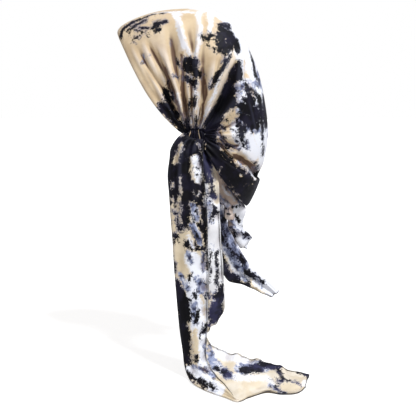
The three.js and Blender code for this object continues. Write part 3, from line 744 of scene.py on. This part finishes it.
LEFT_TIE = strip(
    (65.5, 19.5, -119, 64, 50, -129, 60, 51, -129),
    (69, 9, -129, 71, 50, -137, 60.5, 54, -137),
    (72, 1, -143, 76, 50, -150, 61, 60, -150),
    (74, -1, -158, 79, 50, -166, 62, 68, -168),
    (75, -4, -184, 82, 51, -188, 63, 74, -192),
    (76, -2, -214, 83, 54, -216, 64, 76, -220),
    (77, 0, -250, 83, 56, -252, 65, 77, -252),
    (78, 3, -290, 84, 57, -292, 66, 79, -290),
    (79, 5, -330, 84, 58, -332, 67, 82, -330),
    (80, 8, -370, 85, 58, -370, 68, 84, -372),
    (81, 11, -408, 86, 57, -406, 66, 84, -404),
    (81, 14, -438, 86, 56, -430, 63, 75, -426),
    (82, 18, -468, 87, 55, -450, 59, 62, -440),
    (84, 21, -492, 88, 54, -468, 54, 57, -456),
    (92, 26, -506, 89, 57, -486, 49, 66, -471),
    (115, 35, -509.5, 104, 69, -498, 43, 79, -479),
    (140, 56, -510.5, 125, 81, -503, 38, 95, -487),
    (162, 83, -510.5, 148, 91, -506, 37, 110, -488),
    (177, 102, -510.5, 176, 102.5, -510.5, 39, 127, -496),
    (160, 121, -510.5, 162.5, 120.5, -510.8, 42, 145, -496),
    (142, 147, -510.5, 144.5, 147.5, -510.8, 47, 157, -501),
    (148, 172, -510.5, 150.5, 172, -510.8, 54, 178, -503),
    (143, 196, -510.5, 145.5, 196.5, -510.8, 73, 194, -505),
    (122, 210, -510.5, 124, 211, -510.8, 84, 222, -506),
)
TIE_FOLD_AT = 0.45  # share of a tie's width on the outer side of its folded edge
TIE_FOLD_ROUND = 0.003
TIE_FOLD_BEND = 0.05
TIE_LIES_FROM = (0.56, 0.68)  # the share of the length over which the tie comes to lie flat
TIE_PRESSED = 0.75  # the share of the fold's roundness that lying on the floor takes off
PRESSED_CLOTH = 0.0009
TIE_STEADY = 0.06
TIE_SAG_REACH = 0.07
TIE_SETTLES = (0.02, 0.14)  # the share of the length over which the folds rise below the stitching
TIE_WAVE = 0.0022
TIE_GATHER = 0.0030
GATHERS_RISE, GATHERS_FADE = (0, 0.05), (0.1, 0.34)
TIE_PUCKER = 0.0009
TIE_PUCKERS_FADE = (0.05, 0.16)
TIE_CREASE = 0.0011
TIE_HEM_WAVE = (0.0018, 0.034)  # how high and how long
TIE_HEM_REACH = 0.2  # share of the width over which the waves of the hem die out
TIE_HEM_PRESSED = 0.55  # the share of their height that lying on the floor takes off


def tie_base(rows, sag, lies):
    """The surface of a folded strip: along from gather to tip, across from the near to the far hem. lies is
    1 where its end lies on the floor, which presses the fold flat there, and 0 where it hangs."""
    def middle(along):
        return sum(column(rows, name, along) for name in ("fold", "fold", "near", "far")) / 4

    def surface(along, across):
        fold, near, far = (column(rows, name, along) for name in ("fold", "near", "far"))
        down = middle(np.minimum(1, along + TIE_STEADY)) - middle(np.maximum(0, along - TIE_STEADY))
        inward = unit((near + far) / 2 - fold)
        outward = unit(np.cross(down, inward))
        radius = np.minimum(TIE_FOLD_ROUND, np.linalg.norm(near - far, axis=1) / 2)
        radius = (radius * (1 - TIE_PRESSED * lies * smooth(along, *TIE_LIES_FROM)))[:, None]
        past = across - TIE_FOLD_AT
        turn = math.pi / 2 * np.clip(past / TIE_FOLD_BEND, -1, 1)[:, None]
        edge = fold + inward * radius * (1 - np.cos(turn)) - outward * radius * np.sin(turn)
        width = np.where(past < 0, TIE_FOLD_AT, 1 - TIE_FOLD_AT) - TIE_FOLD_BEND
        straight = np.maximum(0, np.abs(past) - TIE_FOLD_BEND) / width
        edge[:, 2] -= sag * np.sin(math.pi * straight) * (1 - smooth(along, 0, TIE_SAG_REACH))
        return mix(edge, np.where(past[:, None] < 0, near, far), straight[:, None])

    return surface


def tie_height(along, across, length, seed, lies):
    """A tie's folds: gathers that fan out below the stitching, long waves, small creases and a wavy hem."""
    flat = smooth(np.abs(across - TIE_FOLD_AT), TIE_FOLD_BEND, 3 * TIE_FOLD_BEND)
    settle = smooth(along, *TIE_SETTLES)
    round_once = 2 * math.pi * across
    wave = TIE_WAVE * np.sin(2.5 * round_once + 3 * along)
    gathers = TIE_GATHER * np.sin(6 * round_once) * smooth(along, *GATHERS_RISE)
    gathers *= 1 - smooth(along, *GATHERS_FADE)
    puckers = TIE_PUCKER * np.sin(17 * round_once + 2 * np.sin(9 * along))
    puckers *= 1 - smooth(along, *TIE_PUCKERS_FADE)
    wavy = 2 * math.pi * along * length / TIE_HEM_WAVE[1] + seed
    hem = TIE_HEM_WAVE[0] * np.sin(wavy + 0.9 * np.sin(0.37 * wavy))
    hem *= 1 - smooth(np.minimum(across, 1 - across), 0, TIE_HEM_REACH)
    hem *= 1 - TIE_HEM_PRESSED * lies * smooth(along, *TIE_LIES_FROM)
    creases = TIE_CREASE * np.array([
        noise.noise(Vector((9 * b, 26 * a, seed))) + 0.5 * noise.noise(Vector((20 * b, 60 * a, seed)))
        for a, b in zip(along, across)])
    return flat * gathers + settle * (hem + flat * (wave + puckers + creases))


def tie_shape(rows, sag, length, seed, lies):
    base_of = tie_base(rows, sag, lies)

    def shape(along, across):
        base = base_of(along, across)
        normal = normals(base_of, along, across)
        skin = base + normal * tie_height(along, across, length, seed, lies)[:, None]
        thick = mix(CLOTH, PRESSED_CLOTH, lies * smooth(along, *TIE_LIES_FROM))
        return skin, skin - normal * thick[:, None]

    return shape


THREAD_THICK = 0.0009
THREAD_STITCH = 0.0013
THREAD_REACH = 0.0024  # how far from the hem the stitches bite
thread_look, thread_tree, thread_shader = new_look("overlock_thread")
thread_twist = node(thread_tree, "TexNoise", {"Vector": node(thread_tree, "TexCoord").outputs["Object"],
                                              "Scale": 1400, "Detail": 2}).outputs["Fac"]
feed(thread_tree, thread_shader, {"Roughness": 0.6, "Base Color": colour_mix(
    thread_tree, thread_twist, (0.006, 0.006, 0.009, 1), (0.05, 0.048, 0.06, 1))})


def hem_thread(name, shape, way, flat):
    """Overlocked thread that whips over a free hem, along the way, in shares (along, across) of the cloth."""
    way = np.array(way, float)
    bite = np.clip(way, (0, THREAD_REACH / flat[0]), (1 - THREAD_REACH / flat[1], 1 - THREAD_REACH / flat[0]))
    edge = sum(shape(way[:, 0], way[:, 1])) / 2
    skin, back = shape(bite[:, 0], bite[:, 1])
    over = unit(skin - back) * THREAD_THICK / 2
    outward = unit(edge - (skin + back) / 2) * THREAD_THICK / 2
    tracks = (skin + over, edge + outward, back - over, edge + outward)
    lengths = np.concatenate([[0], np.cumsum(np.linalg.norm(np.diff(edge, axis=0), axis=1))])
    at = np.arange(0, lengths[-1], THREAD_STITCH / 4)
    points = np.empty((len(at), 3))
    for turn, track in enumerate(tracks):
        for k in range(3):
            points[turn::4, k] = np.interp(at[turn::4], lengths, track[:, k])
    curve = bpy.data.curves.new(name, "CURVE")
    curve.dimensions = "3D"
    curve.bevel_depth, curve.bevel_resolution = THREAD_THICK / 2, 1
    spline = curve.splines.new("POLY")
    spline.points.add(len(points) - 1)
    spline.points.foreach_set("co", np.column_stack([points, np.ones(len(points))]).ravel())
    holder = finished(name + "_line", curve)
    mesh = bpy.data.meshes.new_from_object(holder.evaluated_get(bpy.context.evaluated_depsgraph_get()))
    bpy.data.objects.remove(holder)
    mesh.name = name
    mesh.materials.clear()
    thread = finished(name, mesh, thread_look)
    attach(thread, "root")
    return thread


def round_the_hem(start, stop, steps=420, tip_steps=80):
    """The way round a free edge: down the near hem, across the tip and back up the far hem to stop."""
    tip = np.linspace(0, 1, tip_steps)[1:-1]
    return np.concatenate([
        np.column_stack([np.linspace(start, 1, steps), np.zeros(steps)]),
        np.column_stack([np.ones(tip_steps - 2), tip]),
        np.column_stack([np.linspace(1, stop, steps), np.ones(steps)]),
    ])


LEFT_TIE_FLAT = (0.125, 0.70)
tie_velvet = velvet("tie_velvet", (0.74, 0.63, 0.46), (0.62, 0.51, 0.35), crease_shade=0.5)
left_tie_shape = tie_shape(LEFT_TIE, 0.006, LEFT_TIE_FLAT[1], seed=2.0, lies=1)
left_tie = cloth("tie_left_cloth", lines=300, steps=130, shape=left_tie_shape, flat=LEFT_TIE_FLAT, grain=0,
                 looks=(reverse_velvet, tie_velvet))
LEFT_TIE_DYE = (
    ("ink", (177, 141, 198, 141, 7, 7), (173, 150, 202, 152, 9, 8), (170, 168, 198, 168, 11, 10),
     (168, 186, 198, 188, 11, 10), (180, 200, 202, 200, 9, 7), (170, 198, 176, 206, 3, 2),
     (184, 210, 203, 218, 4.4, 3.6), (184, 206, 187, 228, 4.4, 3.6), (196, 220, 205, 232, 2.6, 4.2),
     (203, 190, 205, 250, 4, 3.2), (186, 243, 192, 246, 3.6, 3.6), (198, 242, 204, 246, 3.6, 3.6),
     (196, 246, 206, 250, 3, 2.6), (172, 234, 179, 238, 2.4, 3.4), (174, 222, 180, 230, 1.6, 2.4),
     (171, 240, 173, 272, 1.4, 1.8)),
    ("bare", (180, 144, 175, 160, 2.6, 3.4), (181, 178, 180, 194, 1.4, 1.3), (171, 182, 173, 188, 0.9, 1),
     (171, 200, 173, 228, 2.8, 3.8), (178, 196, 178, 214, 1.8, 2)),
    ("ink", (174, 209, 176, 213, 1.4, 1.6), (170, 199, 170, 207, 0.9, 0.9), (178, 202, 180, 206, 1.2, 1.2),
     (176, 219, 178, 224, 1.4, 1.4)),
    ("bare", (184, 230, 181, 240, 2.6, 3.2)),
    ("ink", (181, 226, 187, 228, 1.2, 1.4)),
    ("bare", (193, 158, 193, 178, 2.4, 2.6)),
    ("white", (197, 158, 200, 181, 3.8, 4.2)),
    ("ink", (195, 166, 198, 167, 1.1, 0.9), (194, 171, 198, 170, 0.9, 0.8), (198, 174, 199, 176, 0.8, 0.7)),
    ("haze", (199, 140, 202, 155, 1.6, 2)),
    ("bare", (197, 138, 199, 144, 0.9, 0.9)),
    ("white", (200, 192, 199, 195, 1, 0.8), (192, 190, 193, 192, 0.7, 0.6)),
    ("haze", (192, 206, 198, 218, 3.4, 3.8)),
    ("white", (192, 208, 194, 222, 2, 2.2)),
    ("haze", (191, 226, 200, 240, 3.8, 4.2)),
    ("white", (192, 227, 199, 234, 2.2, 2.8), (190, 236, 194, 246, 1.4, 1.8)),
    ("ink", (191, 216, 195, 222, 1.2, 1.4), (196, 232, 199, 237, 1.2, 1.2), (197, 210, 201, 214, 1.4, 1)),
    ("bare", (176, 250, 183, 272, 6.4, 4.4)),
    ("white", (192, 256, 201, 276, 6.4, 8.6), (193, 284, 202, 344, 7.5, 7)),
    ("haze", (203, 254, 205, 270, 2.2, 2.4), (186, 250, 190, 262, 2.4, 2)),
    ("white", (206, 252, 207, 336, 2, 2.4)),
    ("ink", (190, 275, 191, 279, 1.6, 1.6), (201, 282, 202, 287, 2.8, 3.2)),
    ("haze", (200, 280, 203, 290, 4, 4)),
    ("ink", (197, 294, 197, 298, 2, 1.8), (206, 294, 206, 298, 1.2, 1.6), (176, 282, 178, 292, 2.6, 4)),
    ("haze", (180, 274, 187, 288, 3, 3.4)),
    ("ink", (179, 292, 184, 306, 6.4, 8), (180, 306, 186, 316, 6.4, 7.4), (181, 318, 186, 338, 6, 6.2),
     (184, 336, 187, 366, 5.4, 5.2), (190, 360, 190, 371, 2.4, 2.6)),
    ("haze", (194, 304, 194, 322, 3.4, 3.4)),
    ("ink", (199, 311, 195, 323, 2.2, 2.8), (193, 313, 194, 317, 1.6, 1.6), (205, 327, 201, 337, 2.4, 3)),
    ("bare", (194, 332, 195, 354, 2.8, 3)),
    ("ink", (197, 356, 198, 359, 2.4, 2)),
    ("white", (204, 336, 202, 364, 3.4, 3.6), (219, 203, 221, 252, 4.6, 4.6),
     (221, 252, 223, 300, 3.6, 3.6)),
    ("ink", (207, 172, 209, 186, 2.2, 3), (207, 140, 209, 166, 5, 5)),
    ("bare", (213, 170, 213, 182, 1.6, 2)),
    ("white", (214, 200, 213, 250, 6.5, 6.5), (206, 184, 207, 204, 2.6, 3.4)),
    ("bare", (214, 190, 217, 200, 2.4, 2.4)),
    ("ink", (211, 170, 214, 197, 2.6, 2.8), (212, 204, 216, 213, 2.4, 3)),
    ("haze", (211, 206, 212, 222, 3, 2.4)),
    ("ink", (214, 214, 211, 222, 2.4, 1.6)),
    ("haze", (209, 240, 214, 248, 1.8, 2)),
    ("white", (214, 250, 214, 290, 6.5, 6)),
    ("ink", (209, 251, 208, 268, 2, 1.4), (212, 252, 210, 282, 1.2, 1), (218, 252, 217, 284, 2, 2),
     (222, 284, 219, 300, 2.6, 3.6), (219, 297, 214, 318, 6.6, 7.4), (214, 318, 210, 324, 4, 3),
     (209, 294, 210, 297, 1.8, 1.8)),
    ("white", (208, 303, 215, 302, 1.2, 1.2), (208, 314, 209, 322, 2.2, 2.2)),
    ("haze", (207, 346, 212, 358, 3, 4.4), (208, 350, 218, 364, 2.4, 4)),
    ("white", (218, 352, 246, 361, 4, 4.8), (206, 350, 212, 372, 5, 5)),
    ("haze", (211, 346, 216, 362, 3, 4), (214, 364, 228, 373, 3.6, 5)),
    ("ink", (216, 366, 227, 372, 2.2, 3.4), (224, 374, 234, 376, 2.2, 1)),
    ("haze", (241, 367, 264, 366, 7, 7)),
    ("ink", (244, 369, 260, 367, 4.8, 5.6), (262, 364, 278, 364, 4.4, 3.8), (278, 366, 282, 377, 3, 2),
     (282, 377, 276, 381, 1.8, 1.4), (270, 380, 286, 392, 0.9, 1.2), (284, 378, 300, 382, 0.5, 0.6)),
    ("white", (190, 368, 218, 388, 5, 6), (203, 344, 226, 352, 3.6, 4)),
    ("haze", (207, 344, 213, 362, 2.6, 3.4), (192, 366, 206, 368, 2, 3.2)),
    ("ink", (189, 374, 195, 379, 3, 2.8), (186, 372, 188, 380, 1.8, 1.4), (200, 380, 206, 385, 3.2, 3.4),
     (210, 384, 214, 388, 2.2, 2)),
    ("haze", (206, 368, 214, 376, 2.4, 2.4)),
    # The two thin strokes from (203, 345) and (203, 350) are painted highlights on the creases that radiate
    # from the tie's bend.
    ("white", (203, 374, 214, 378, 1.8, 1.8), (203, 345, 189, 384, 1.1, 1), (203, 350, 199, 376, 0.9, 0.7),
     (234, 376, 264, 377, 3, 2.6), (266, 376, 272, 384, 2.6, 2.6)),
    ("haze", (268, 384, 286, 392, 2.4, 2.4)),
    ("ink", (273, 386, 286, 392, 1.6, 1.8), (300, 371, 310, 374, 2.2, 2.8)),
    ("white", (306, 380, 308, 385, 2, 2)),
)
dye(left_tie, LEFT_TIE_DYE, over=gather_ink)
left_thread = hem_thread("tie_left_thread", left_tie_shape, round_the_hem(0.03, 0.25), LEFT_TIE_FLAT)
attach(left_tie, "root")
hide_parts("tail_left")


# The right tie: a shorter strip of the same cloth, folded lengthwise too, its tip kicked out to the back.
RIGHT_TIE = strip(
    (-63, 49, -130, -63.8, 27, -130, -60.2, 27, -130),
    (-69, 50, -138, -72, 18, -136, -60, 19, -138),
    (-74, 53, -164, -78, 10, -162, -63, 12, -164),
    (-75, 65, -204, -82, 18, -202, -66, 20, -204),
    (-74, 81, -242, -84, 34, -244, -68, 32, -244),
    (-75, 89, -276, -86, 48, -282, -70, 44, -282),
    (-76, 101, -304, -87, 62, -318, -72, 57, -316),
    (-77, 114, -333, -88, 78, -348, -73, 72, -348),
    (-78, 127, -355, -88, 90, -374, -75, 84, -376),
    (-80, 137, -372, -87, 104, -396, -77, 98, -394),
    (-82, 152, -382, -88, 128, -403, -79, 124, -401),
    (-84, 170, -396, -90, 150, -412, -81, 148, -413),
    (-87, 189, -416, -91, 176, -425, -84, 174, -426),
)
RIGHT_TIE_FLAT = (0.105, 0.36)
right_tie_shape = tie_shape(RIGHT_TIE, 0.0, RIGHT_TIE_FLAT[1], seed=5.0, lies=0)
right_tie = cloth("tie_right_cloth", lines=190, steps=110, shape=right_tie_shape, flat=RIGHT_TIE_FLAT,
                  grain=0, looks=(reverse_velvet, tie_velvet))
RIGHT_TIE_DYE = (
    ("white", (218, 204, 244, 270, 14, 14)),
    ("haze", (218, 204, 232, 240, 10, 11), (230, 238, 242, 266, 12, 10)),
    ("ink", (227, 247, 236, 256, 2.2, 2.6), (223, 228, 225, 236, 1.6, 1.6), (241, 256, 245, 264, 1.8, 1.8)),
    ("white", (228, 232, 233, 244, 1.6, 1.8), (236, 264, 242, 276, 1.6, 2), (258, 280, 284, 298, 9, 9)),
    ("ink", (220, 258, 226, 280, 7, 5.6), (226, 276, 246, 285, 4.6, 5), (246, 273, 262, 282, 4.4, 2.6)),
    ("haze", (240, 272, 245, 279, 2.4, 2.4), (256, 280, 262, 286, 2, 1.6)),
)
right_blots = blots(right_tie, lambda p: (p[:, 0] < -0.078) & (p[:, 2] > -0.36), 15, seed=21,
                    dyes=("ink", "ink", "white"), long=(0.02, 0.08), wide=(0.004, 0.010))
dye(right_tie, RIGHT_TIE_DYE, over=gather_ink + right_blots)
right_thread = hem_thread("tie_right_thread", right_tie_shape, round_the_hem(0.05, 0.05), RIGHT_TIE_FLAT)
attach(right_tie, "root")
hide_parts("tail_right")


# The nape band: a casing of plain cream cloth over elastic, on the neck's side of the crown's turned-under
# edge. The elastic draws it into fine upright puckers.
BAND_THICK = 0.0024
BAND_FLAT = (0.012, 0.20)
BAND_TOP = 0.999
BAND_FOOT = 0.987
BAND_FROM = 0.035
BAND_PUCKER = 0.0005
BAND_PUCKERS = 46


def band_skin(u, v):
    return crown_base(u, v) + normals(crown_base, u, v) * (SEAM_GAP + BAND_THICK)


def band_base(down, across):
    return band_skin(mix(BAND_FOOT, BAND_TOP, down), mix(BAND_FROM, 1 - BAND_FROM, across))


def band_shape(down, across):
    normal = normals(band_base, down, across)
    puckers = BAND_PUCKER * (np.sin(2 * math.pi * BAND_PUCKERS * across + 2 * np.sin(23 * across)) - 1)
    skin = band_base(down, across) + normal * (puckers * np.sin(math.pi * down))[:, None]
    return skin, band_base(down, across) - normal * BAND_THICK


casing = velvet("cream_casing", CREAM, CREAM_DEEP, sheen=0.1)
band = cloth("nape_casing", lines=14, steps=420, shape=band_shape, flat=BAND_FLAT, grain=1,
             looks=(casing, casing))
dye(band, ())
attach(band, "root")
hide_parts("nape_band")


# The back flap: a ruffled, pointed piece of the same velvet that hangs from the nape band below the pouch.
# side is half its breadth, and edge and back are the places of its hems and its middle line, each as y, z.
FLAP = table(
    "side edge back",
    (0.048, (0.068, -0.178), (0.093, -0.203)),
    (0.046, (0.061, -0.188), (0.097, -0.212)),
    (0.044, (0.063, -0.206), (0.106, -0.230)),
    (0.041, (0.073, -0.224), (0.120, -0.248)),
    (0.035, (0.083, -0.238), (0.116, -0.264)),
    (0.027, (0.086, -0.254), (0.115, -0.281)),
    (0.018, (0.092, -0.274), (0.128, -0.293)),
    (0.010, (0.101, -0.297), (0.131, -0.302)),
    (0.005, (0.113, -0.313), (0.122, -0.316)),
)
FLAP_SEAM_FROM = 0.2
FLAP_SEAM_BELOW = 0.0008
FLAP_SEAM_REACH = 0.12
FLAP_RUFFLE = 0.006
FLAP_CURL = 0.0036
FLAP_CURL_REACH = 0.26  # how far from the hem, in shares of the cloth
FLAP_CURL_FROM = (0.15, 0.5)
FLAP_CREASE = 0.0016


def flap_base(along, across):
    swing = math.pi * across
    bulge = np.sin(swing)[:, None]
    place = mix(column(FLAP, "edge", along), column(FLAP, "back", along), bulge)
    seam_v = mix(FLAP_SEAM_FROM, 1 - FLAP_SEAM_FROM, across)
    seam = band_skin(np.full(len(along), BAND_FOOT - FLAP_SEAM_BELOW), seam_v)
    free = np.column_stack([column(FLAP, "side", along) * np.cos(swing), place])
    return mix(seam, free, np.minimum(1, along / FLAP_SEAM_REACH)[:, None])


def flap_shape(along, across):
    base = flap_base(along, across)
    normal = normals(flap_base, along, across)
    narrow = (column(FLAP, "side", along) / FLAP[0]["side"]) ** 1.6
    ruffles = FLAP_RUFFLE * np.sin(2 * math.pi * 3 * across + 0.8 * np.sin(5 * along))
    to_hem = np.minimum(np.minimum(across, 1 - across), 1 - along)
    curl = FLAP_CURL * np.sin(34 * along + 11 * across + 1.1 * np.sin(17 * along))
    curl *= (1 - smooth(to_hem, 0, FLAP_CURL_REACH)) * smooth(along, *FLAP_CURL_FROM)
    creases = np.array([noise.noise(Vector((6 * b, 9 * a, 4.0))) for a, b in zip(along, across)])
    folds = ruffles * narrow * smooth(along, 0, 0.4) + curl + FLAP_CREASE * creases * smooth(along, 0, 0.2)
    skin = base + normal * folds[:, None]
    return skin, skin - normal * CLOTH


FLAP_FLAT = (0.16, 0.14)
# The flap's cream is pinker than the crown's: a painted warm tint for the pink-brown the flap shows in the
# shade under the pouch.
flap_velvet = velvet("flap_velvet", (0.79, 0.65, 0.56), (0.66, 0.51, 0.42), crease_shade=0.6)
flap = cloth("flap_cloth", lines=110, steps=150, shape=flap_shape, flat=FLAP_FLAT, grain=0,
             looks=(flap_velvet, reverse_velvet))
FLAP_DYE = (
    ("white", (240, 211, 248, 220, 6.4, 8), (240, 222, 248, 246, 9, 8), (224, 186, 236, 200, 0.8, 1.6)),
    ("haze", (229, 186, 248, 204, 2.2, 2.6)),
    ("ink", (217, 202, 225, 211, 3.4, 3.8), (213, 168, 217, 188, 2, 1.6), (217, 188, 221, 194, 1.6, 1.2),
     (220, 172, 228, 183, 1.2, 1)),
    ("haze", (219, 196, 228, 208, 2.4, 3)),
    ("bare", (226, 213, 234, 219, 2.6, 2)),
    ("ink", (236, 217, 240, 222, 2, 1.8), (231, 228, 234, 236, 2, 1.6), (239, 233, 246, 236, 1.4, 1),
     (228, 216, 231, 214, 1.1, 1.1)),
    ("haze", (230, 222, 238, 234, 2.4, 2.4)),
    ("ink", (246, 238, 252, 238, 1.2, 1), (234, 208, 248, 205, 1.4, 1.6)),
)
flap_blots = blots(flap, lambda p: p[:, 0] < 0.01, 9, seed=31, long=(0.006, 0.02), wide=(0.001, 0.006))
dye(flap, FLAP_DYE, over=flap_blots)
flap_thread = hem_thread("flap_thread", flap_shape, round_the_hem(0.38, 0.38, 120, 40), FLAP_FLAT)
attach(flap, "root")
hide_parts("back_flap")


# The floor, the light and the finish of the picture: a plain pale floor and backdrop under one soft sun and
# the studio's own even light.
FLOOR_WIDE = 60.0
FLOOR_GAP = 0.0006
FLOOR_GREY = 0.55
FLOOR_GLOW = 0.78  # seen by the camera alone
EVEN_LIGHT = 0.34
EVEN_COLOUR = (1, 0.95, 0.93, 1)
SUN_STRENGTH = 3.5
SUN_COLOUR = (0.96, 0.98, 1)
SUN_WIDE = math.radians(12)
SUN_TOWARDS = (-0.46, -0.44, -0.92)
floor_bm = bmesh.new()
bmesh.ops.create_grid(floor_bm, x_segments=1, y_segments=1, size=FLOOR_WIDE / 2)
bmesh.ops.translate(floor_bm, verts=floor_bm.verts, vec=(0, 0, cad_box[0].z - FLOOR_GAP))
floor_paint, floor_look, floor_shader = new_look("pale_floor")
feed(floor_look, floor_shader, {"Base Color": (*[FLOOR_GREY] * 3, 1), "Roughness": 0.9})
glow = node(floor_look, "Emission", {"Color": (1, 1, 1, 1), "Strength": FLOOR_GLOW})
lit = node(floor_look, "AddShader", {0: floor_shader.outputs[0], 1: glow.outputs[0]})
floor_view = node(floor_look, "LightPath").outputs["Is Camera Ray"]
plain = node(floor_look, "MixShader", {0: floor_view, 1: floor_shader.outputs[0], 2: lit.outputs[0]})
feed(floor_look, floor_look.nodes["Material Output"], {"Surface": plain.outputs[0]})
floor = from_bmesh("floor", floor_bm, floor_paint)

world = bpy.data.worlds.new("studio")
bpy.context.scene.world = world
world.use_nodes = True
air = world.node_tree
even_light = feed(air, air.nodes["Background"], {"Color": EVEN_COLOUR, "Strength": EVEN_LIGHT})
backdrop = node(air, "Background", {"Color": (1, 1, 1, 1), "Strength": 1.0})
seen = node(air, "LightPath").outputs["Is Camera Ray"]
studio = node(air, "MixShader", {0: seen, 1: even_light.outputs[0], 2: backdrop.outputs[0]})
feed(air, air.nodes["World Output"], {"Surface": studio.outputs[0]})
sun = bpy.data.objects.new("studio_sun", bpy.data.lights.new("studio_sun", "SUN"))
bpy.context.scene.collection.objects.link(sun)
sun.data.energy = SUN_STRENGTH
sun.data.color = SUN_COLOUR
sun.data.angle = SUN_WIDE
sun.rotation_euler = Vector(SUN_TOWARDS).to_track_quat("-Z", "Y").to_euler()
bpy.context.scene.view_settings.view_transform = "Standard"
